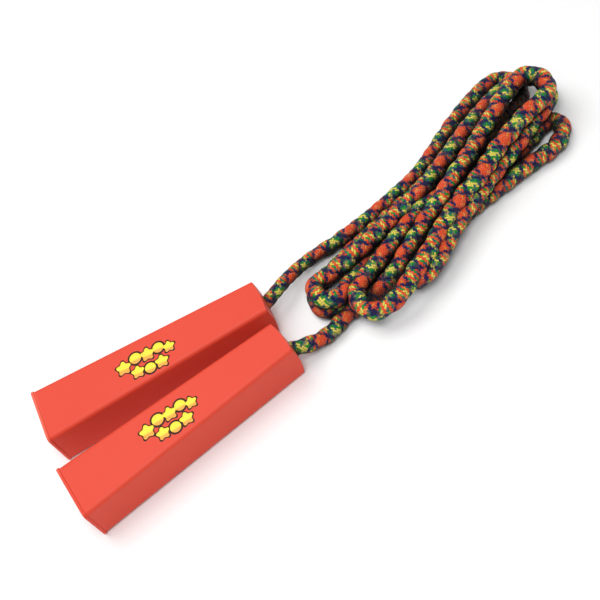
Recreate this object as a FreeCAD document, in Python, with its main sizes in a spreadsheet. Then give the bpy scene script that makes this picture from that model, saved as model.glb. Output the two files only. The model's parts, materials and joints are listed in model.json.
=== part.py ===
import FreeCAD, Part
import math
import os
import Sketcher
from FreeCAD import Placement, Rotation, Vector

# Child's jump rope, put away: two four-sided tapered handles side by side on the floor, and one
# braided rope between them, folded into a hank. Millimetres. The origin is on the floor under
# the middle of the two handles, +X runs along the handles towards the rope and +Z is up.

# Driving sizes ---------------------------------------------------------------------------------
SIZES = {
    "handle_length": 117.8,      # cut end to the top of the domed end
    "lip_width": 30.0,           # rim at the open end, across its broad top
    "lip_height": 24.6,
    "lip_stand": 0.5,            # how far the rim stands out of the wall
    "lip_thickness": 1.5,        # rim, measured along the handle
    "lip_rounding": 0.45,
    "narrow_width": 19.0,        # the domed end, taller than it is wide
    "narrow_height": 23.6,
    "wall": 2.0,
    "end_wall": 3.0,             # closed end that the knot pulls against
    "edge_radius": 2.2,          # the four long edges
    "inner_edge_radius": 1.0,
    "dome_radius": 55.0,
    "bore_play": 4.5,            # the rope's hole in the closed end is this much wider than it
    "bore_rounding": 0.8,
    "rope_diameter": 8.0,
    "knot_clearance": 0.4,       # each side of the stopper knot, which turns inside the handle
    "knot_length": 18.0,
    "knot_gap": 1.0,             # between the knot and the closed end
    "tail_length": 7.0,          # rope end behind the knot
    "back_exit_x": 58.6,         # floor point under each rope hole, and the handle's heading
    "back_exit_y": 25.6,
    "back_heading": 1.8,
    "front_exit_x": 59.3,
    "front_exit_y": 0.1,
    "front_heading": 10.9,
    "hank_height": 24.0,
    "hank_corner": 9.0,
    "hank_top_rounding": 6.0,
}

# The rope's route from each handle into the hank, chosen by hand. It starts behind the hole. The
# next point is given from the middle of the hole's mouth, and the others by X, Y and how high the
# rope's underside is above the floor.
BACK_MOUTH_STEP = (2.6, 3.0, 0.8)
BACK_ROUTE = [(70.0, 35.4, 5.9), (81.0, 41.2, 3.2), (92.0, 44.6, 0.8)]
FRONT_MOUTH_STEP = (4.1, -1.9, -2.0)
FRONT_ROUTE = [(71.4, -0.5, 1.2), (79.8, 1.2, 0.2), (88.4, 5.8, 0.2)]

# Outline of the folded hank seen from above, anticlockwise.
HANK_OUTLINE = [
    (73, 22), (76, 6), (88, -4), (101, -11), (115, -11), (141, -1), (170, 14), (200, 21),
    (223, 29), (234, 48), (235, 79), (226, 94), (204, 96), (178, 84), (150, 66), (120, 54),
    (93, 51), (77, 36),
]

doc = FreeCAD.newDocument("JumpRope")
sheet = doc.addObject("Spreadsheet::Sheet", "Sizes")
for row, (alias, number) in enumerate(SIZES.items(), start=1):
    sheet.set(f"A{row}", alias)
    sheet.set(f"B{row}", str(number))
    sheet.setAlias(f"B{row}", alias)
doc.recompute()


def size(alias):
    """A driving size as the sheet holds it."""
    return float(sheet.get(alias))


# Expressions that several features share
BODY_WIDTH = "(Sizes.lip_width - 2 * Sizes.lip_stand)"
BODY_HEIGHT = "(Sizes.lip_height - 2 * Sizes.lip_stand)"
INNER_LENGTH = "(Sizes.handle_length - Sizes.end_wall)"
BORE_DIAMETER = "(Sizes.rope_diameter + Sizes.bore_play)"


def hollow_ends(open_end, domed_end):
    """The hollow's own size at the open and the closed end, from the outside's two sizes."""
    at_end_wall = (
        f"({open_end} - ({open_end} - {domed_end}) * {INNER_LENGTH} / Sizes.handle_length)"
    )
    return f"({open_end} - 2 * Sizes.wall)", f"({at_end_wall} - 2 * Sizes.wall)"


INNER_WIDTHS = hollow_ends(BODY_WIDTH, "Sizes.narrow_width")
INNER_HEIGHTS = hollow_ends(BODY_HEIGHT, "Sizes.narrow_height")

parts = {}


def keep(label, feature):
    """Names a finished sub-part, so that it is checked and written."""
    feature.Label = label
    parts[label] = feature
    return feature


def origin_plane(body, role):
    return next(item for item in body.Origin.OriginFeatures if item.Role == role)


def new_sketch(body, name, plane="YZ_Plane", offset=None):
    """A sketch on one of the body's origin planes, moved along that plane's normal."""
    sketch = body.newObject("Sketcher::SketchObject", name)
    sketch.AttachmentSupport = (origin_plane(body, plane), [""])
    sketch.MapMode = "FlatFace"
    if offset:
        sketch.setExpression("AttachmentOffset.Base.z", offset)
    return sketch


def bind(sketch, named):
    """Adds each (name, constraint, expression), with the constraint tied to the expression."""
    for name, constraint, expression in named:
        sketch.renameConstraint(sketch.addConstraint(constraint), name)
        sketch.setExpression(f"Constraints.{name}", expression)


def rim_sketch(body, name, width, height, corner):
    """A round-cornered rectangle about the handle's axis, tied to three expressions."""
    sketch = new_sketch(body, name)
    side, radius = 10.0, 2.0
    flat = side / 2 - radius
    for quarter in range(4):
        turn = Rotation(Vector(0, 0, 1), 90 * quarter)
        start, end, centre = (
            turn.multVec(Vector(*point))
            for point in ((-flat, -side / 2, 0), (flat, -side / 2, 0), (flat, -flat, 0))
        )
        sketch.addGeometry(Part.LineSegment(start, end), False)
        circle = Part.Circle(centre, Vector(0, 0, 1), radius)
        begin = math.pi / 2 * (quarter - 1)
        sketch.addGeometry(Part.ArcOfCircle(circle, begin, begin + math.pi / 2), False)
    for quarter in range(4):
        line, arc, following = 2 * quarter, 2 * quarter + 1, (2 * quarter + 2) % 8
        sketch.addConstraint(Sketcher.Constraint("Tangent", line, 2, arc, 1))
        sketch.addConstraint(Sketcher.Constraint("Tangent", arc, 2, following, 1))
        kind = "Vertical" if quarter % 2 else "Horizontal"
        sketch.addConstraint(Sketcher.Constraint(kind, line))
        if quarter:
            sketch.addConstraint(Sketcher.Constraint("Equal", 1, arc))
    sketch.addConstraint(Sketcher.Constraint("Symmetric", 0, 1, 4, 1, -1, 1))
    bind(sketch, (
        ("across", Sketcher.Constraint("DistanceX", 6, 1, 2, 1, side), width),
        ("up", Sketcher.Constraint("DistanceY", 0, 1, 4, 1, side), height),
        ("corner", Sketcher.Constraint("Radius", 1, radius), corner),
    ))
    return sketch


def circle_sketch(body, name, diameter, offset):
    sketch = new_sketch(body, name, offset=offset)
    sketch.addGeometry(Part.Circle(Vector(0, 0, 0), Vector(0, 0, 1), 3), False)
    sketch.addConstraint(Sketcher.Constraint("Coincident", 0, 3, -1, 1))
    bind(sketch, [("across", Sketcher.Constraint("Diameter", 0, 6.0), diameter)])
    return sketch


def tapered_block(body, kind, name, widths, heights, length):
    """A block about the handle's axis, its width and height given at the open end and at length."""
    block = body.newObject(kind, name)
    for letter, (open_end, far_end) in (("X", widths), ("Z", heights)):
        block.setExpression(f"{letter}min", f"-{open_end} / 2")
        block.setExpression(f"{letter}max", f"{open_end} / 2")
        block.setExpression(f"{letter}2min", f"-{far_end} / 2")
        block.setExpression(f"{letter}2max", f"{far_end} / 2")
    block.Ymin = 0
    block.setExpression("Ymax", length)
    block.Placement = Placement(Vector(), Rotation(Vector(0, 0, 1), -90))
    doc.recompute()
    return block


def fillet(body, name, base, chosen, radius):
    """Rounds the edges of base that chosen(edge) picks, by the radius of an expression."""
    edges = [f"Edge{i}" for i, edge in enumerate(base.Shape.Edges, start=1) if chosen(edge)]
    if not edges:
        raise RuntimeError(f"{name} found no edge")
    feature = body.newObject("PartDesign::Fillet", name)
    feature.Base = (base, edges)
    feature.setExpression("Radius", radius)
    doc.recompute()
    return feature


def reach(edge):
    """An edge's lowest and highest X, and how far from the axis its middle lies."""
    middle = edge.valueAt((edge.FirstParameter + edge.LastParameter) / 2)
    along = [vertex.X for vertex in edge.Vertexes] + [middle.x]
    return min(along), max(along), math.hypot(middle.y, middle.z)


# Handles ---------------------------------------------------------------------------------------
def resting_edge():
    """Distance from the open end to the rim's edge that touches the floor."""
    return size("lip_thickness") - size("lip_rounding")


def tilt():
    """Degrees by which a handle's axis dips towards the rope while it lies on one side."""
    half_narrow = size("narrow_height") / 2
    sag = size("dome_radius") - math.sqrt(size("dome_radius") ** 2 - half_narrow**2)
    taper = (size("lip_height") / 2 - size("lip_stand") - half_narrow) / size("handle_length")
    run = size("handle_length") - sag - resting_edge()
    drop = size("lip_height") / 2 - half_narrow - taper * sag
    return math.degrees(math.atan2(drop, run))


def handle_place(side):
    """Placement of a handle, whose own origin is the middle of its open end, +X to the rope."""
    turn = Rotation(size(f"{side}_heading"), tilt(), 0)
    lowest = turn.multVec(Vector(resting_edge(), 0, -size("lip_height") / 2))
    along = turn.multVec(Vector(size("handle_length"), 0, 0))
    return Placement(
        Vector(size(f"{side}_exit_x") - along.x, size(f"{side}_exit_y") - along.y, -lowest.z),
        turn,
    )


def cut_dome(body, side):
    """Rounds the closed end: turns away what lies outside a large sphere."""
    profile = new_sketch(body, f"{side}_dome_profile", "XZ_Plane")
    length = size("handle_length")
    radius = size("dome_radius")
    spread = size("narrow_height")
    margin = size("wall")
    swing = math.asin(spread / radius)
    top = Vector(length, 0, 0)
    middle, rim = (
        Vector(length - radius + radius * math.cos(angle), radius * math.sin(angle), 0)
        for angle in (swing / 2, swing)
    )
    beyond = Vector(length + margin, spread, 0)
    below = Vector(length + margin, 0, 0)
    profile.addGeometry(Part.Arc(top, middle, rim), False)
    for start, end in ((rim, beyond), (beyond, below), (below, top)):
        profile.addGeometry(Part.LineSegment(start, end), False)
    for first, first_end, second, second_end in ((1, 2, 2, 1), (2, 2, 3, 1), (0, 2, 1, 1)):
        profile.addConstraint(
            Sketcher.Constraint("Coincident", first, first_end, second, second_end)
        )
    profile.addConstraint(Sketcher.Constraint("Coincident", 0, 1, 3, 2))
    for kind, line in (("Horizontal", 1), ("Vertical", 2), ("Horizontal", 3)):
        profile.addConstraint(Sketcher.Constraint(kind, line))
    profile.addConstraint(Sketcher.Constraint("PointOnObject", 3, 2, -1))
    profile.addConstraint(Sketcher.Constraint("PointOnObject", 0, 3, -1))
    bind(profile, (
        ("apex", Sketcher.Constraint("DistanceX", -1, 1, 3, 2, length), "Sizes.handle_length"),
        ("bulge", Sketcher.Constraint("Radius", 0, radius), "Sizes.dome_radius"),
        ("spread", Sketcher.Constraint("DistanceY", -1, 1, 1, 1, spread), "Sizes.narrow_height"),
        ("margin", Sketcher.Constraint("DistanceX", 3, 2, 3, 1, margin), "Sizes.wall"),
    ))
    doc.recompute()
    dome = body.newObject("PartDesign::Groove", f"{side}_dome")
    dome.Profile = profile
    dome.ReferenceAxis = (origin_plane(body, "X_Axis"), [""])
    dome.Angle = 360
    doc.recompute()
    return dome


def make_handle(side):
    """Hollow tapered four-sided handle: open lipped end, domed closed end with the rope's hole."""
    body = doc.addObject("PartDesign::Body", f"{side}_handle_body")
    length = size("handle_length")
    thickness = size("lip_thickness")
    outer = tapered_block(
        body, "PartDesign::AdditiveWedge", f"{side}_wall", (BODY_WIDTH, "Sizes.narrow_width"),
        (BODY_HEIGHT, "Sizes.narrow_height"), "Sizes.handle_length",
    )
    rounded = fillet(
        body, f"{side}_long_edges", outer,
        lambda edge: reach(edge)[1] - reach(edge)[0] > length / 2, "Sizes.edge_radius",
    )
    lip = body.newObject("PartDesign::Pad", f"{side}_lip")
    lip.Profile = rim_sketch(
        body, f"{side}_lip_outline", "Sizes.lip_width", "Sizes.lip_height",
        "Sizes.edge_radius + Sizes.lip_stand",
    )
    lip.setExpression("Length", "Sizes.lip_thickness")
    doc.recompute()
    rim_y, rim_z = size("lip_width") / 2 - 0.01, size("lip_height") / 2 - 0.01
    lip_rim = fillet(
        body, f"{side}_lip_rim", lip,
        lambda edge: reach(edge)[1] - reach(edge)[0] < 1e-6
        and reach(edge)[1] < thickness + 1e-6
        and (abs(edge.Vertexes[0].Y) > rim_y or abs(edge.Vertexes[0].Z) > rim_z),
        "Sizes.lip_rounding",
    )

    dome = cut_dome(body, side)
    hollow = tapered_block(
        body, "PartDesign::SubtractiveWedge", f"{side}_hollow", INNER_WIDTHS, INNER_HEIGHTS,
        INNER_LENGTH,
    )
    inner_end = length - size("end_wall")
    inner = fillet(
        body, f"{side}_hollow_edges", hollow,
        lambda edge: abs(reach(edge)[0]) < 1e-6 and abs(reach(edge)[1] - inner_end) < 1e-6,
        "Sizes.inner_edge_radius",
    )
    bore = body.newObject("PartDesign::Pocket", f"{side}_bore")
    bore.Profile = circle_sketch(
        body, f"{side}_bore_circle", BORE_DIAMETER, "Sizes.handle_length + Sizes.wall"
    )
    bore.setExpression("Length", "Sizes.end_wall + 2 * Sizes.wall")
    doc.recompute()
    mouth_radius = (size("rope_diameter") + size("bore_play")) / 2
    fillet(
        body, f"{side}_bore_mouth", bore,
        lambda edge: abs(reach(edge)[2] - mouth_radius) < 0.01
        and reach(edge)[0] > length - size("end_wall") / 2,
        "Sizes.bore_rounding",
    )
    body.Placement = handle_place(side)
    return keep(f"{side}_handle", body), (outer, rounded, lip, lip_rim, dome, hollow, inner, bore, body.Tip)


# Stopper knots ---------------------------------------------------------------------------------
KNOT_END = "(Sizes.handle_length - Sizes.end_wall - Sizes.knot_gap)"
KNOT_DIAMETER = f"({INNER_WIDTHS[1]} - 2 * Sizes.knot_clearance)"


def knot_diameter():
    """The knot nearly fills the hollow's narrow end."""
    wide = size("lip_width") - 2 * size("lip_stand")
    share = 1 - size("end_wall") / size("handle_length")
    outside = wide - (wide - size("narrow_width")) * share
    return outside - 2 * size("wall") - 2 * size("knot_clearance")


def make_knot(side):
    """Stopper knot with its loose end, turned about the handle's axis behind the closed end."""
    body = doc.addObject("PartDesign::Body", f"{side}_knot_body")
    profile = new_sketch(body, f"{side}_knot_profile", "XZ_Plane")
    end = size("handle_length") - size("end_wall") - size("knot_gap")
    behind = end - size("knot_length")
    loose = behind - size("tail_length")
    rope = size("rope_diameter") / 2
    crown = Vector((behind + end) / 2, knot_diameter() / 2, 0)
    outline = [Vector(loose, 0, 0), Vector(loose, rope, 0), Vector(behind, rope, 0),
               Vector(end, rope, 0), Vector(end, 0, 0)]
    for start, stop in zip(outline, outline[1:] + outline[:1]):
        if start == outline[2]:
            profile.addGeometry(Part.Arc(start, crown, stop), False)
        else:
            profile.addGeometry(Part.LineSegment(start, stop), False)
    arc_start, arc_end = 2, 1
    joined = ((0, 2, 1, 1), (1, 2, 2, arc_start), (2, arc_end, 3, 1), (3, 2, 4, 1), (4, 2, 0, 1))
    for first, first_end, second, second_end in joined:
        profile.addConstraint(
            Sketcher.Constraint("Coincident", first, first_end, second, second_end)
        )
    for kind, line in (("Vertical", 0), ("Horizontal", 1), ("Vertical", 3)):
        profile.addConstraint(Sketcher.Constraint(kind, line))
    profile.addConstraint(Sketcher.Constraint("PointOnObject", 0, 1, -1))
    profile.addConstraint(Sketcher.Constraint("PointOnObject", 3, 2, -1))
    profile.addConstraint(Sketcher.Constraint("Equal", 0, 3))
    half = size("knot_length") / 2
    profile.addGeometry(Part.Point(crown), True)
    crown_index = len(outline)
    profile.addConstraint(Sketcher.Constraint("PointOnObject", crown_index, 1, 2))
    bind(profile, (
        ("end", Sketcher.Constraint("DistanceX", -1, 1, 3, 2, end), KNOT_END),
        ("behind", Sketcher.Constraint("DistanceX", 2, arc_start, 2, arc_end, 2 * half),
         "Sizes.knot_length"),
        ("loose", Sketcher.Constraint("DistanceX", 1, 1, 1, 2, behind - loose),
         "Sizes.tail_length"),
        ("thick", Sketcher.Constraint("DistanceY", 0, 1, 0, 2, rope), "Sizes.rope_diameter / 2"),
        ("crown_x", Sketcher.Constraint("DistanceX", crown_index, 1, 2, arc_end, half),
         "Sizes.knot_length / 2"),
        ("crown_y", Sketcher.Constraint("DistanceY", -1, 1, crown_index, 1, crown.y),
         f"{KNOT_DIAMETER} / 2"),
    ))
    doc.recompute()
    knot = body.newObject("PartDesign::Revolution", f"{side}_knot_turned")
    knot.Profile = profile
    knot.ReferenceAxis = (origin_plane(body, "X_Axis"), [""])
    knot.Angle = 360
    doc.recompute()
    body.Placement = handle_place(side)
    return keep(f"{side}_knot", body)


# Rope ------------------------------------------------------------------------------------------
BEND_SHARE = 0.45    # share of the shorter run that a bend may use


def rope_wire(points):
    """Straight runs joined by tangent arcs, each as large as its two runs allow."""
    edges = []
    radii = []
    start = points[0]
    for before, corner, after in zip(points, points[1:], points[2:]):
        back = (before - corner).normalize()
        ahead = (after - corner).normalize()
        half_turn = (math.pi - back.getAngle(ahead)) / 2
        trim = BEND_SHARE * min((before - corner).Length, (after - corner).Length)
        radius = trim / math.tan(half_turn)
        enter = corner + back * trim
        leave = corner + ahead * trim
        to_centre = (back + ahead).normalize()
        middle = corner + to_centre * (radius / math.cos(half_turn) - radius)
        edges.append(Part.LineSegment(start, enter).toShape())
        edges.append(Part.Arc(enter, middle, leave).toShape())
        radii.append(radius)
        start = leave
    edges.append(Part.LineSegment(start, points[-1]).toShape())
    return Part.Wire(edges), radii


def make_lead(side, mouth_step, route):
    """Rope from the knot out through the handle's hole and down to the hank."""
    radius = size("rope_diameter") / 2
    place = handle_place(side)
    inside = size("handle_length") - size("end_wall") - size("knot_gap")
    mouth = place.multVec(Vector(size("handle_length"), 0, 0))
    points = [place.multVec(Vector(inside, 0, 0)), mouth + Vector(*mouth_step)]
    points += [Vector(x, y, radius + lift) for x, y, lift in route]
    path, radii = rope_wire(points)
    section = Part.Wire(Part.Circle(points[0], points[1] - points[0], radius).toShape())
    tube = path.makePipeShell([section], True, False)
    expected = math.pi * radius**2 * path.Length
    print(f"{side} lead: length {path.Length:.1f}, bends {[round(r, 1) for r in radii]},"
          f" volume {tube.Volume:.0f} for {expected:.0f}")
    lead = doc.addObject("Part::Feature", f"{side}_lead_solid")
    lead.Shape = tube
    return keep(f"{side}_rope_lead", lead)


def make_hank():
    """Outer shape of the folded rope, lying on the floor."""
    body = doc.addObject("PartDesign::Body", "hank_body")
    sketch = new_sketch(body, "hank_outline", "XY_Plane")
    corners = [Vector(x, y, 0) for x, y in HANK_OUTLINE]
    count = len(corners)
    for index, corner in enumerate(corners):
        sketch.addGeometry(Part.LineSegment(corner, corners[(index + 1) % count]), False)
    for index in range(count):
        sketch.addConstraint(Sketcher.Constraint("Coincident", index, 2, (index + 1) % count, 1))
        sketch.addConstraint(Sketcher.Constraint("Block", index))
    pad = body.newObject("PartDesign::Pad", "hank_pad")
    pad.Profile = sketch
    pad.setExpression("Length", "Sizes.hank_height")
    doc.recompute()
    corners_round = fillet(
        body, "hank_corners", pad,
        lambda edge: edge.BoundBox.ZLength > size("hank_height") / 2, "Sizes.hank_corner",
    )
    top = size("hank_height") - 1e-6
    fillet(
        body, "hank_top", corners_round, lambda edge: edge.BoundBox.ZMin > top,
        "Sizes.hank_top_rounding",
    )
    return keep("rope_hank", body)


for handle_side, first_step, rest_of_route in (
    ("back", BACK_MOUTH_STEP, BACK_ROUTE), ("front", FRONT_MOUTH_STEP, FRONT_ROUTE)
):
    steps = make_handle(handle_side)[1]
    volumes = [round(step.Shape.Volume) for step in steps]
    print(f"{handle_side} handle: volume after each step {volumes}")
    make_knot(handle_side)
    make_lead(handle_side, first_step, rest_of_route)
make_hank()

# Checks and output -----------------------------------------------------------------------------
doc.recompute()
for item in doc.Objects:
    if "Invalid" in item.State or "Error" in item.State:
        raise RuntimeError(f"{item.Label} failed: {item.State}")
for label, feature in parts.items():
    shape = feature.Shape
    if shape.isNull() or not shape.isValid() or not shape.Solids:
        raise RuntimeError(f"{label} has no valid solid")

os.makedirs("parts", exist_ok=True)
for label, feature in parts.items():
    feature.Shape.exportStep(f"parts/{label}.step")
    box = feature.Shape.optimalBoundingBox()
    print(f"{label}: x {box.XMin:.2f} {box.XMax:.2f}, y {box.YMin:.2f} {box.YMax:.2f},"
          f" z {box.ZMin:.2f} {box.ZMax:.2f}, solids {len(feature.Shape.Solids)}")
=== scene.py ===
import json
import math

import bmesh
import bpy
import numpy as np
from mathutils import Matrix, Vector
from mathutils.bvhtree import BVHTree


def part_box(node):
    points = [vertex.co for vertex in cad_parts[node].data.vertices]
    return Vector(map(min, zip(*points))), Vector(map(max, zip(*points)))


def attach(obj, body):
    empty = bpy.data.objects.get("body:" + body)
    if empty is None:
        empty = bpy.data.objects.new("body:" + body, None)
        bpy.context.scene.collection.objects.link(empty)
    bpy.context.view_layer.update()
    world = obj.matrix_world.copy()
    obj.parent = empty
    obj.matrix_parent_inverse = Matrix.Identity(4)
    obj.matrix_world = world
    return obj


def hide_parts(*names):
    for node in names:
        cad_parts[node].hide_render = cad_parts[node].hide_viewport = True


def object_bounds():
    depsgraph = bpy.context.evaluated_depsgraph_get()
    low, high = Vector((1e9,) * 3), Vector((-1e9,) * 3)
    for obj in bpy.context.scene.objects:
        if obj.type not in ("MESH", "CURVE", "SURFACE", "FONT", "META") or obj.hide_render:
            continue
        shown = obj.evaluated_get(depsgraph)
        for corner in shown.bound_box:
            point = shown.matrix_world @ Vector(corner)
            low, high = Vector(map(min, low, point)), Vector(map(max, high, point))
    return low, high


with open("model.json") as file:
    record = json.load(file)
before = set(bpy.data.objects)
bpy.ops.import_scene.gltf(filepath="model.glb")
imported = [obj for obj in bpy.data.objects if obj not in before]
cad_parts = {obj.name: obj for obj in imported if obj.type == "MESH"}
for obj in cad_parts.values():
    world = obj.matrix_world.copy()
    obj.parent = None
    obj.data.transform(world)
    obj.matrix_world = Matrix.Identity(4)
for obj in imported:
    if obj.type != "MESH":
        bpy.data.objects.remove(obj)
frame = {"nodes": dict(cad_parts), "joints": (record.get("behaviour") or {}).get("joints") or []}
cad_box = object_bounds()
MM = 0.001


# ---------------------------------------------------------------- camera

def set_camera(place, look_at, roll, focal):
    """A camera at a place, turned to a point and rolled by degrees about its line of sight."""
    data = bpy.data.cameras.new("camera")
    data.lens, data.sensor_width, data.clip_start = focal, 36.0, 0.01
    camera = bpy.data.objects.new("camera", data)
    ahead = (Vector(look_at) - Vector(place)).normalized()
    right = ahead.cross(Vector((0, 0, 1))).normalized()
    up = right.cross(ahead)
    turn = Matrix.Rotation(math.radians(roll), 3, ahead)
    axes = Matrix((turn @ right, turn @ up, -ahead)).transposed()
    camera.matrix_world = Matrix.Translation(place) @ axes.to_4x4()
    bpy.context.scene.collection.objects.link(camera)
    bpy.context.scene.camera = camera
    bpy.context.scene.view_settings.view_transform = "Standard"


set_camera((0.0728, -0.2685, 0.43548), (0.0728, 0.02835, 0.0), 27.53, 65.4)


# ---------------------------------------------------------------- the rope's route

# The rope from one handle to the other, in millimetres: what each stretch is, half its width there,
# and the points that pull its line. The hank is five flat loops that lie over each other.
ROPE_RUNS = [
    ("out of the back handle", 3.3, [
        (53.3, 25.4, 11.8), (61.2, 28.6, 12.6), (70, 35.4, 9.9), (81, 41.2, 7.2), (92, 44.6, 4.8),
    ]),
    ("along the top edge", 4.1, [
        (99, 45, 4.5), (112, 47, 4.5), (125, 50, 4.5), (138, 54, 4.5), (151, 58, 4.5),
        (160, 63, 4.5), (169, 69, 4.5), (178, 75, 4.5), (188, 81, 4.5), (198, 86, 4.5),
        (208, 90, 4.5),
    ]),
    ("first far bend", 4.1, [
        (215, 90, 4.5), (220, 86, 4.5), (222, 79, 4.5), (218, 71, 4.5),
    ]),
    ("back under the hank", 4.1, [
        (212, 68, 4.5), (198, 66, 4.5), (185, 62, 4.5), (171, 57, 4.5), (158, 53, 4.5),
        (145, 49, 4.5), (132, 45, 4.5), (119, 41, 4.5), (107, 37, 4.5), (94, 32, 4.5),
    ]),
    ("first near bend", 4.1, [
        (84, 27, 4.5), (78, 21, 4.5), (81, 12, 4.5), (87, 11, 4.5),
    ]),
    ("out under the hank", 4.1, [
        (98, 14, 4.5), (110, 18, 4.5), (123, 22, 4.5), (135, 26, 4.5), (148, 30, 4.5),
        (161, 34, 4.5), (174, 36, 4.5), (187, 39, 4.5), (200, 42, 4.5), (213, 48, 4.5),
    ]),
    ("second far bend", 4.3, [
        (221, 52, 4.5), (226, 49, 4.5), (225, 42, 4.5), (219, 37, 4.5),
    ]),
    ("along the bottom edge", 4.2, [
        (214, 35, 4.5), (204, 34, 4.5), (194, 32, 4.5), (184, 30, 4.5), (174, 28, 4.5),
        (165, 26, 4.5), (155, 22, 4.5), (146, 16, 4.5), (138, 12, 4.5),
    ]),
    ("fold up at the near end", 4.0, [
        (127, 6, 4.5), (125, 2, 7.5), (126, 0, 11),
    ]),
    ("out over the bottom edge", 4.1, [
        (134, 2, 11), (141, 7, 11.5), (148, 12, 12), (158, 20, 12), (166, 24, 12), (177, 30, 12),
        (184, 34, 12), (194, 39, 12), (202, 43, 12), (212, 49, 12), (220, 53, 12),
    ]),
    ("third far bend", 4.2, [
        (226, 56, 12), (230, 65, 12), (228, 74, 12), (221, 78, 12),
    ]),
    ("back along the middle", 4.5, [
        (215, 77, 12), (205, 74, 12), (194, 69, 12), (184, 64, 12), (176, 59, 12), (166, 53, 12),
        (157, 48, 12), (147, 43, 12), (138, 39, 12), (125, 35, 12), (113, 31, 12), (100, 27, 12),
    ]),
    ("second near bend", 4.4, [
        (89, 25, 12), (81, 24, 12), (81, 15, 12), (89, 11, 11),
    ]),
    ("down and out again", 4.0, [
        (97, 17, 10), (109, 24, 7), (121, 31, 4.5), (134, 35, 4.5), (146, 40, 4.5), (158, 44, 4.5),
        (169, 48, 4.5), (182, 53, 4.5), (193, 57, 4.5),
    ]),
    ("hidden bend", 4.0, [
        (202, 61, 4.5), (207, 58, 4.5), (205, 52, 4.5),
    ]),
    ("back up to the near loop", 4.1, [
        (197, 49, 4.5), (189, 47, 5), (181, 44, 6.5), (173, 39, 9), (166, 37, 10), (159, 36, 11),
        (152, 36, 11.5), (145, 35, 12), (139, 32, 12), (130, 28, 12), (121, 23, 12), (112, 18, 12),
        (103, 14, 12),
    ]),
    ("near loop", 4.3, [
        (97, 9, 12), (96, 2, 12), (100, -5, 12), (107, -6, 12.5),
    ]),
    ("out on the top", 4.2, [
        (116, -4, 14), (123, 1, 15.5), (132, 6, 15.5), (138, 10, 15), (145, 16, 15),
        (154, 22, 15.5), (163, 27, 16.5), (172, 30, 17.5), (181, 35, 18.5), (190, 41, 19),
        (199, 45, 19.5), (209, 50, 19.5), (217, 52, 20),
    ]),
    ("far loop", 4.3, [
        (223, 54, 20), (228, 59, 20), (227, 68, 20), (222, 72, 20),
    ]),
    ("back on the top", 4.3, [
        (216, 71, 19.5), (206, 66, 19.5), (197, 59, 19), (187, 53, 18), (179, 47, 17.5),
        (169, 41, 17.5), (161, 36, 17.5), (152, 29, 17.5), (145, 27, 15.5), (137, 22, 13),
        (128, 17, 12), (120, 11, 11), (111, 8, 8.5), (103, 7, 5.5),
    ]),
    ("into the front handle", 3.8, [
        (88.4, 5.8, 4.2), (79.8, 1.2, 4.2), (71.4, -0.5, 5.2), (63.4, -1.8, 9.8), (54.4, -0.8, 11.8),
    ]),
]
LAY_LENGTH = 19.5 * MM      # along the rope, one strand's turn
STRANDS = 16                # each way round, in four groups: orange, navy, yellow and green, navy
PATCH = 8                   # strands from the middle of one navy pair to the middle of the next
FIRST_VALLEY = 7            # strand edge in the middle of the first navy pair


def draw_line(name, points):
    """A smooth open line pulled by its points, as evenly read places along it."""
    curve = bpy.data.curves.new(name, "CURVE")
    curve.dimensions, curve.resolution_u = "3D", 16
    spline = curve.splines.new("NURBS")
    spline.points.add(len(points) - 1)
    for at, point in zip(spline.points, points):
        at.co = (*point, 1.0)
    spline.order_u, spline.use_endpoint_u = 3, True
    holder = bpy.data.objects.new(name, curve)
    bpy.context.scene.collection.objects.link(holder)
    bpy.context.view_layer.update()
    mesh = bpy.data.meshes.new_from_object(holder)
    line = np.array([v.co[:] for v in mesh.vertices])
    bpy.data.objects.remove(holder)
    return line


def lengths_along(line):
    """How far along a line each of its places is."""
    return np.concatenate([[0], np.cumsum(np.linalg.norm(np.diff(line, axis=0), axis=1))])


def read_at(line, far, wanted):
    """The places at the wanted distances along a line."""
    return np.array([np.interp(wanted, far, line[:, i]) for i in range(3)]).T


def frames_along(line):
    """Two directions across a line at each place, which turn with it and never twist about it."""
    ahead = np.gradient(line, axis=0)
    ahead /= np.linalg.norm(ahead, axis=1)[:, None]
    side = np.cross(ahead[0], (0, 0, 1.0))
    side /= np.linalg.norm(side)
    sides = [side]
    for way in ahead[1:]:
        side = side - way * (side @ way)
        side /= np.linalg.norm(side)
        sides.append(side)
    sides = np.array(sides)
    return sides, np.cross(ahead, sides)


# ---------------------------------------------------------------- the braid

def patch_height(turns_along, turns_round):
    """The braid's swelling, from 0 in the valleys of the navy strands to 1 on the patches."""
    first, second = (turns_along + turns_round) * STRANDS, (turns_along - turns_round) * STRANDS
    waves = [np.sin(math.pi * (strand - FIRST_VALLEY) / PATCH) for strand in (first, second)]
    return np.sqrt(np.abs(waves[0] * waves[1]))


WIDTH_EASE = 12 * MM        # the rope's width changes over this length, each way


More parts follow.
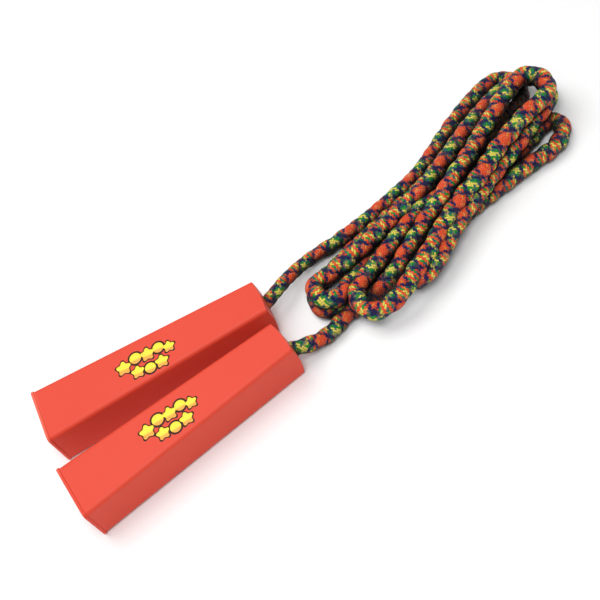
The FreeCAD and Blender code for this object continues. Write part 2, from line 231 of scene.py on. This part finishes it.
def braid(name, line, half_width, step, round_steps, start_turn=0.0, relief=0.15):
    """A braided rope along a line, its ends rounded over. Its lay map counts turns along and round."""
    far = lengths_along(line)
    rings = int(far[-1] / step)
    wanted = np.linspace(0, far[-1], rings + 1)
    middle = read_at(line, far, wanted)
    sides, ups = frames_along(middle)
    width = np.interp(wanted, far, half_width)
    ease = max(1, int(WIDTH_EASE / step))
    evenly = np.ones(2 * ease + 1) / (2 * ease + 1)
    width = np.convolve(np.pad(width, ease, mode="edge"), evenly, "valid")
    nearest_end = np.minimum(wanted, far[-1] - wanted)
    rounding = np.sqrt(np.clip(1 - (1 - np.clip(nearest_end / (0.6 * width), 0, 1)) ** 2, 0.02, 1))
    # The lay tightens and loosens a little, and the whole braid rolls slowly about its line.
    slack = 0.5 * np.sin(wanted / 0.0093) + 0.5 * np.sin(wanted / 0.0061 + 1.0)
    along = wanted / LAY_LENGTH + start_turn + 0.06 * slack
    turn = np.arange(round_steps) / round_steps
    roll = 0.05 * np.sin(wanted / 0.0127 + 2.0) + 0.9 * wanted / 0.3
    height = patch_height(along[:, None], turn[None, :] + roll[:, None])
    reach = (width * rounding)[:, None] * (1 - relief + 1.4 * relief * height)
    angle = 2 * math.pi * turn
    outward = (np.cos(angle)[None, :, None] * sides[:, None, :]
               + np.sin(angle)[None, :, None] * ups[:, None, :])
    spots = middle[:, None, :] + reach[..., None] * outward
    mesh = bpy.data.meshes.new(name)
    ring, spot = np.meshgrid(np.arange(rings), np.arange(round_steps), indexing="ij")
    after = (spot + 1) % round_steps
    faces = np.stack([ring * round_steps + spot, ring * round_steps + after,
                      (ring + 1) * round_steps + after, (ring + 1) * round_steps + spot], -1).reshape(-1, 4)
    caps = [list(range(round_steps))[::-1], [rings * round_steps + i for i in range(round_steps)]]
    mesh.from_pydata(spots.reshape(-1, 3).tolist(), [], faces.tolist() + caps)
    lay = mesh.uv_layers.new(name="lay")
    u = np.stack([along[ring], along[ring], along[ring + 1], along[ring + 1]], -1).reshape(-1)
    v = (np.stack([spot, spot + 1, spot + 1, spot], -1) / round_steps
         + np.stack([roll[ring], roll[ring], roll[ring + 1], roll[ring + 1]], -1)).reshape(-1)
    ends = np.concatenate([np.full(round_steps, along[0]), np.full(round_steps, along[-1])])
    ends_round = np.concatenate([turn[::-1] + roll[0], turn + roll[-1]])
    u, v = np.concatenate([u, ends]), np.concatenate([v, ends_round])
    lay.data.foreach_set("uv", np.stack([u, v], -1).ravel())
    mesh.shade_smooth()
    rope = bpy.data.objects.new(name, mesh)
    bpy.context.scene.collection.objects.link(rope)
    return rope, middle


# ---------------------------------------------------------------- the finishes' toolkit

class Value:
    """A number that changes over a surface, which sums like a plain number."""

    def __init__(self, finish, socket):
        self.finish, self.socket = finish, socket

    def sum(self, operation, *values):
        return self.finish.add("ShaderNodeMath", {"operation": operation}, dict(enumerate(values)))

    def __add__(self, other): return self.sum("ADD", self, other)
    def __radd__(self, other): return self.sum("ADD", other, self)
    def __sub__(self, other): return self.sum("SUBTRACT", self, other)
    def __rsub__(self, other): return self.sum("SUBTRACT", other, self)
    def __mul__(self, other): return self.sum("MULTIPLY", self, other)
    def __rmul__(self, other): return self.sum("MULTIPLY", other, self)
    def __truediv__(self, other): return self.sum("DIVIDE", self, other)
    def __pow__(self, other): return self.sum("POWER", self, other)
    def __mod__(self, other): return self.sum("FLOORED_MODULO", self, other)
    def __lt__(self, other): return self.sum("LESS_THAN", self, other)
    def __gt__(self, other): return self.sum("GREATER_THAN", self, other)
    def __abs__(self): return self.sum("ABSOLUTE", self)
    def floor(self): return self.sum("FLOOR", self)
    def sine(self): return self.sum("SINE", self)
    def root(self): return self.sum("SQRT", self.sum("MAXIMUM", self, 0.0))

    def between(self, low, high):
        """0 below low, 1 above high, and a smooth change from one to the other."""
        return self.finish.add("ShaderNodeMapRange", {"interpolation_type": "SMOOTHSTEP"},
                               {"Value": self, "From Min": low, "From Max": high})

    def pick(self, yes, no):
        """yes where this is 1, no where it is 0."""
        return self * yes + (1 - self) * no


class Finish:
    """One material, built a node at a time."""

    def __init__(self, name):
        self.material = bpy.data.materials.new(name)
        self.material.use_nodes = True
        self.tree = self.material.node_tree
        self.tree.nodes.clear()

    def add(self, kind, settings, sockets, out=0):
        """A node of a kind: its settings, then its sockets' values or links. Gives one output."""
        node = self.tree.nodes.new(kind)
        for name, setting in settings.items():
            if name == "stops":
                ramp = node.color_ramp
                while len(ramp.elements) < len(setting):
                    ramp.elements.new(1.0)
                for stop, (place, colour) in zip(ramp.elements, setting):
                    stop.position, stop.color = place, (*colour, 1.0)
            elif name == "interpolation":
                node.color_ramp.interpolation = setting
            else:
                setattr(node, name, setting)
        for name, value in sockets.items():
            if isinstance(value, Value):
                self.tree.links.new(value.socket, node.inputs[name])
            elif isinstance(value, tuple) and node.inputs[name].type == "RGBA":
                node.inputs[name].default_value = (*value, 1.0)
            else:
                node.inputs[name].default_value = value
        return Value(self, node.outputs[out])

    def mix(self, share, one, other):
        """Two colours, mixed."""
        return self.add("ShaderNodeMix", {"data_type": "RGBA"}, {0: share, 6: one, 7: other}, out=2)

    def noise(self, place, scale, detail=2.0, roughness=0.5):
        return self.add("ShaderNodeTexNoise", {}, {"Vector": place, "Scale": scale, "Detail": detail,
                                                   "Roughness": roughness})

    def object_place(self):
        return self.add("ShaderNodeTexCoord", {}, {}, out="Object")

    def bump(self, height, depth, strength=1.0):
        return self.add("ShaderNodeBump", {}, {"Height": height, "Distance": depth, "Strength": strength})

    def surface(self, **sockets):
        """The shader itself, whose sockets are named with underscores for spaces."""
        sockets = {name.replace("_", " "): value for name, value in sockets.items()}
        shader = self.add("ShaderNodeBsdfPrincipled", {}, sockets)
        end = self.tree.nodes.new("ShaderNodeOutputMaterial")
        self.tree.links.new(shader.socket, end.inputs["Surface"])
        return self.material


# ---------------------------------------------------------------- finishes

ORANGE = (0.98, 0.10, 0.022)
AMBER = (0.95, 0.27, 0.03)
YELLOW = (0.90, 0.78, 0.12)
LEAF = (0.01, 0.33, 0.03)
TEAL = (0.002, 0.15, 0.14)
NAVY = (0.008, 0.012, 0.16)
YARNS_ONE_WAY = ([ORANGE] * 4 + [AMBER, ORANGE, NAVY, NAVY]
                 + [LEAF, YELLOW, YELLOW, TEAL, LEAF, TEAL, NAVY, NAVY])
YARNS_OTHER_WAY = [ORANGE] * 6 + [NAVY, NAVY, TEAL, LEAF, YELLOW, YELLOW, LEAF, TEAL, NAVY, NAVY]


def braided_yarn():
    """Confetti braid: orange patches and yellow and green ones, parted by navy strands that cross. Shade is
    painted into its colour at the strands' edges, between threads, in the valleys and in crevices.
    """
    f = Finish("braided_yarn")
    lay = f.add("ShaderNodeUVMap", {"uv_map": "lay"}, {})
    along = f.add("ShaderNodeSeparateXYZ", {}, {0: lay}, out="X")
    round_ = f.add("ShaderNodeSeparateXYZ", {}, {0: lay}, out="Y")
    first, second = (along + round_) * STRANDS, (along - round_) * STRANDS
    over = ((first.floor() + second.floor()) % 4.0) < 2.0

    def yarns(colours, strand):
        return f.add("ShaderNodeValToRGB", {"interpolation": "CONSTANT",
                                            "stops": [(i / STRANDS, c) for i, c in enumerate(colours)]},
                     {0: (strand.floor() % STRANDS + 0.5) / STRANDS})

    colour = f.mix(over, yarns(YARNS_OTHER_WAY, second), yarns(YARNS_ONE_WAY, first))
    across = over.pick(first % 1.0, second % 1.0)
    back = (1 - (2 * across - 1) ** 2.0).root()
    valley_one = abs(((first - FIRST_VALLEY) * (math.pi / PATCH)).sine())
    valley_other = abs(((second - FIRST_VALLEY) * (math.pi / PATCH)).sine())
    swell = (valley_one * valley_other).root()
    place = f.object_place()
    threads = ((across * 3.0 + f.noise(place, 900.0) * 0.8) * 6.2832).sine() * 0.5 + 0.5
    shade = f.noise(place, 420.0, 3.0)
    # Ambient occlusion, used to paint shade into the colour where strands and loops crowd each other.
    crevice_shade = f.add("ShaderNodeAmbientOcclusion", {"samples": 6}, {"Distance": 0.02}, out="AO")
    # Painted shade: each strand's colour darkens towards its edges, where it dips under its neighbours.
    colour = f.mix((1 - back) * 0.72, colour, (0.01, 0.006, 0.02))
    colour = f.mix((shade - 0.5).between(0.0, 0.2) * 0.35, colour, (1.0, 0.50, 0.20))
    # Painted shade: dark lines in the grooves between the threads of each strand.
    colour = f.mix(threads * 0.28, colour, (0.02, 0.01, 0.01))
    # Partly the navy strands' own colour, partly painted shade: the valleys between patches are darkened to
    # near black, beyond the navy yarn itself.
    colour = f.mix((1 - swell.between(0.0, 0.8)) * 0.85, colour, (0.005, 0.006, 0.035))
    # Painted shade: the colour goes almost black in the crevices between strands and loops.
    colour = f.mix((1 - crevice_shade.between(0.34, 0.97)) * 0.98, colour, (0.005, 0.002, 0.002))
    height = back * 0.6 + threads * 0.1 + shade * 0.4 + swell * 0.6
    return f.surface(Base_Color=colour, Roughness=0.40 + shade * 0.25, Normal=f.bump(height, 0.0006, 0.9),
                     Sheen_Weight=0.03, Sheen_Roughness=0.4, Specular_IOR_Level=0.22)


def coral_plastic():
    """Moulded coral plastic with a satin grain, slight flow marks and rub marks, and a painted highlight
    along the rim at the wide end.
    """
    f = Finish("coral_plastic")
    place = f.object_place()
    flow = f.noise(place, 14.0, 3.0)
    grain = f.noise(place, 2600.0, 2.0, 0.6)
    stretched = f.add("ShaderNodeVectorMath", {"operation": "MULTIPLY"}, {0: place, 1: (60.0, 900.0, 500.0)})
    rubs = f.noise(stretched, 1.0, 3.0, 0.7).between(0.62, 0.75)
    colour = f.mix(flow, (0.70, 0.062, 0.032), (0.74, 0.070, 0.037))
    colour = f.mix(rubs * 0.08, colour, (0.95, 0.30, 0.20))
    along = f.add("ShaderNodeSeparateXYZ", {}, {0: place}, out="X")
    # Painted highlight: the rim at the wide end is lighter and pinker, as where its rounded edge catches the
    # light.
    rim_highlight = along.between(cad_box[0][0] + 2.84 * MM, cad_box[0][0] + 1.24 * MM)
    colour = f.mix(rim_highlight * 0.5, colour, (0.90, 0.20, 0.13))
    return f.surface(Base_Color=colour, Roughness=0.40 + grain * 0.10 + rubs * 0.15,
                     Normal=f.bump(grain * 0.6 + rubs * 0.4, 0.00006, 0.6), Specular_IOR_Level=0.2,
                     Subsurface_Weight=0.12, Subsurface_Radius=(0.004, 0.001, 0.0006))


def ink(name, colour, edge_colour, gloss=0.4):
    """Pad-printed ink: a thin glossy film, deeper in colour low on each shape and a little rubbed."""
    f = Finish(name)
    low = f.add("ShaderNodeSeparateXYZ", {}, {0: f.add("ShaderNodeUVMap", {"uv_map": "ink"}, {})}, out="Y")
    place = f.object_place()
    patches, grain = f.noise(place, 300.0, 3.0), f.noise(place, 2200.0, 2.0)
    tint = f.mix((0.5 - low).between(0.02, 0.4), colour, edge_colour)
    tint = f.mix((patches - 0.5).between(0.08, 0.3) * 0.3, tint, edge_colour)
    return f.surface(Base_Color=tint, Roughness=0.33 + grain * 0.15, Normal=f.bump(grain, 0.00004, 0.5),
                     Specular_IOR_Level=gloss)


def pale_floor():
    """Matt backdrop paper."""
    f = Finish("pale_floor")
    paper = f.noise(f.object_place(), 700.0, 2.0)
    colour = f.mix(paper, (0.92, 0.92, 0.92), (0.94, 0.94, 0.94))
    return f.surface(Base_Color=colour, Roughness=0.9, Normal=f.bump(paper, 0.0001, 0.2))


YARN, PLASTIC = braided_yarn(), coral_plastic()
YELLOW_INK = ink("yellow_ink", (0.93, 0.74, 0.03), (0.85, 0.36, 0.03))
DARK_INK = ink("dark_ink", (0.045, 0.014, 0.006), (0.03, 0.01, 0.005), 0.15)


# ---------------------------------------------------------------- the rope itself

def make_rope():
    points = [tuple(c * MM for c in p) for _, _, run in ROPE_RUNS for p in run]
    half = np.array([width * MM for _, width, run in ROPE_RUNS for _ in run])
    line = draw_line("rope_line", points)
    share = np.linspace(0.5, len(points) - 1.5, len(line))
    half_width = np.interp(share, np.arange(len(points)), half)
    rope, middle = braid("skipping_rope", line, half_width, 0.0007, 36)
    rope.data.materials.append(YARN)
    return rope, middle


rope, rope_middle = make_rope()
rope_length = float(lengths_along(rope_middle)[-1])
print("rope length", round(rope_length, 4), "faces", len(rope.data.polygons))
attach(rope, "rope")
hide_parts("rope_hank", "back_rope_lead", "front_rope_lead")


# ---------------------------------------------------------------- the stopper knots

# An overhand knot pulled tight, in millimetres: into the handle, then along and up the wider side.
KNOT_POINTS = [(-3, 0, 0), (1, -0.6, 0), (4, -2.3, 0), (9, -2.5, 0), (14, -2.4, 0.4), (16.4, -4.4, 2.6),
               (14.2, 0, 5.2), (12.6, 5.2, 4.2), (11.6, 7.0, 0), (10.8, 5.0, -4.2), (9.7, 0, -5.1),
               (8.5, -5.0, -4.2), (7.6, -7.0, 0), (6.8, -5.0, 4.2), (5.6, 0, 5.1), (4.3, 4.8, 4.0),
               (2.4, 5.6, 0.6), (3.6, 3.4, -1.2), (8, 2.5, 0), (13, 2.5, 0), (17, 2.3, 0), (21, 1.2, 0),
               (25.5, 0.6, 0)]


def make_knot(name, side):
    """One stopper knot inside a handle, on that handle's own line."""
    low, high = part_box(f"{side}_knot")
    joint = next(j for j in frame["joints"] if j["name"] == f"{side}_handle_spin")
    out = Vector(joint["axis"]).normalized()
    flat = Vector((0, 0, 1)).cross(out).normalized()
    up = out.cross(flat)
    centre = Vector(joint["pos_m"])
    start = centre + out * ((high[0] - centre.x) / out.x)
    points = [start - out * (p[0] * MM) + flat * (p[1] * MM) + up * (p[2] * MM) for p in KNOT_POINTS]
    line = draw_line(name, [tuple(p) for p in points])
    knot, _ = braid(name, line, np.full(len(line), 2.5 * MM), 0.0006, 32, start_turn=0.3)
    knot.data.materials.append(YARN)
    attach(knot, "rope")
    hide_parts(f"{side}_knot")
    return knot


knots = [make_knot("back_stopper_knot", "back"), make_knot("front_stopper_knot", "front")]


# ---------------------------------------------------------------- handles

for side in ("back", "front"):
    node = frame["nodes"][f"{side}_handle"]
    node.data.materials.clear()
    node.data.materials.append(PLASTIC)


# ---------------------------------------------------------------- the printed marks

# Stars and spots, in millimetres from the mark's middle: along, across, size and tips (0 for a spot)
PRINT_LAYOUT = [(-11.0, 0.6, 4.4, 5), (-4.6, 3.4, 2.9, 0), (1.4, 3.0, 4.2, 5), (7.1, 4.2, 2.7, 0),
                (12.1, 2.6, 3.5, 5), (-4.8, -4.2, 3.9, 5), (1.3, -4.6, 2.7, 0), (7.3, -3.6, 4.0, 5)]
PRINT_PLACES = {"back": (-62.0, -1.8), "front": (-64.0, -0.9)}   # along, across from the rope's hole
PRINT_TURN = -8.0           # degrees from the handle's own line
DARK_EDGE = 0.9             # how far the dark film shows round the yellow one
DARK_FILM, YELLOW_FILM = 0.05, 0.11                              # heights of the two films
FILM_GAP = 0.02             # between the plastic and the films' edges
INK_MAP = 4.0               # millimetres from the middle of a shape to the edge of its ink map


def print_outline(size, tips, steps=60):
    """The edge of a plump star or a spot, as places round it."""
    turn = 2 * math.pi * np.arange(steps) / steps + math.pi / 2
    if not tips:
        return size * np.stack([np.cos(turn), np.sin(turn)], -1)
    part = np.abs(np.mod(np.arange(steps) * tips / steps + 0.5, 1.0) - 0.5) * 2
    waist = 0.55
    edge = 1 / ((1 - part) + part / waist)
    edge = sum(np.roll(edge, k) for k in (-2, -1, 0, 1, 2)) / 5
    return size * edge[:, None] * np.stack([np.cos(turn), np.sin(turn)], -1)


def print_mark(name, side, place):
    """Printed stars and spots on a handle's top face: a dark film of ink under a yellow one."""
    node = frame["nodes"][f"{side}_handle"]
    faces = BVHTree.FromPolygons([v.co for v in node.data.vertices],
                                 [p.vertices for p in node.data.polygons])
    joint = next(j for j in frame["joints"] if j["name"] == f"{side}_handle_spin")
    line = Vector((joint["axis"][0], joint["axis"][1], 0)).normalized()
    middle = (Vector(joint["pos_m"]) + line * (place[0] * MM)
              + Vector((0, 0, 1)).cross(line) * (place[1] * MM))
    along = Matrix.Rotation(math.radians(PRINT_TURN), 3, "Z") @ line
    across = Vector((0, 0, 1)).cross(along)
    above = Vector((middle[0], middle[1], 2 * cad_box[1][2]))
    net = bmesh.new()
    fill_map = net.loops.layers.uv.new("ink")

    def film(spot, outline, lift, finish):
        rings, steps = [(1.0, 0.0), (0.97, 0.7), (0.9, 1.0), (0.5, 1.0)], len(outline)
        grid = []
        for share, height in rings:
            for x, y in outline * share + spot:
                at = above + along * (x * MM) + across * (y * MM)
                hit, normal, _, _ = faces.ray_cast(at, Vector((0, 0, -1)))
                grid.append(net.verts.new(hit + normal * (lift * height + FILM_GAP) * MM))
        for r in range(len(rings) - 1):
            for i in range(steps):
                j = (i + 1) % steps
                face = net.faces.new([grid[r * steps + i], grid[r * steps + j],
                                      grid[(r + 1) * steps + j], grid[(r + 1) * steps + i]])
                face.material_index = finish
                face.smooth = True
                for loop, (ring, step) in zip(face.loops, [(r, i), (r, j), (r + 1, j), (r + 1, i)]):
                    loop[fill_map].uv = outline[step] * rings[ring][0] / INK_MAP + 0.5
        top = net.faces.new(grid[-steps:])
        top.material_index = finish
        for loop, at in zip(top.loops, outline):
            loop[fill_map].uv = at * rings[-1][0] / INK_MAP + 0.5

    for x, y, size, tips in PRINT_LAYOUT:
        film((x, y), print_outline(size + DARK_EDGE, tips), DARK_FILM, 0)
    for x, y, size, tips in PRINT_LAYOUT:
        film((x, y), print_outline(size, tips), YELLOW_FILM, 1)
    bmesh.ops.recalc_face_normals(net, faces=net.faces)
    mesh = bpy.data.meshes.new(name)
    net.to_mesh(mesh)
    net.free()
    for finish in (DARK_INK, YELLOW_INK):
        mesh.materials.append(finish)
    mark = bpy.data.objects.new(name, mesh)
    bpy.context.scene.collection.objects.link(mark)
    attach(mark, f"{side}_handle")


print_mark("back_handle_print", "back", PRINT_PLACES["back"])
print_mark("front_handle_print", "front", PRINT_PLACES["front"])


# ---------------------------------------------------------------- floor and light

def lay_floor():
    mesh = bpy.data.meshes.new("floor")
    net = bmesh.new()
    bmesh.ops.create_grid(net, x_segments=8, y_segments=8, size=3.0)
    net.to_mesh(mesh)
    net.free()
    floor = bpy.data.objects.new("floor", mesh)
    floor.location = (0.08, 0.03, -0.0002)
    mesh.materials.append(pale_floor())
    bpy.context.scene.collection.objects.link(floor)


def hang_light(name, place, aim, size, power, colour=(1, 1, 1)):
    data = bpy.data.lights.new(name, "AREA")
    data.shape, data.size, data.energy, data.color = "DISK", size, power, colour
    light = bpy.data.objects.new(name, data)
    way = Vector(aim) - Vector(place)
    light.matrix_world = Matrix.Translation(place) @ way.to_track_quat("-Z", "Y").to_matrix().to_4x4()
    bpy.context.scene.collection.objects.link(light)


def light_room():
    world = bpy.data.worlds.new("studio")
    world.use_nodes = True
    world.node_tree.nodes["Background"].inputs["Color"].default_value = (1, 1, 1, 1)
    world.node_tree.nodes["Background"].inputs["Strength"].default_value = 0.38
    bpy.context.scene.world = world
    hang_light("soft_box", (-0.15, 0.30, 0.9), (0.08, 0.03, 0), 0.8, 5.0)
    hang_light("fill", (0.04, -0.30, 0.88), (0.02, 0.0, 0), 0.4, 3.8)


lay_floor()
light_room()
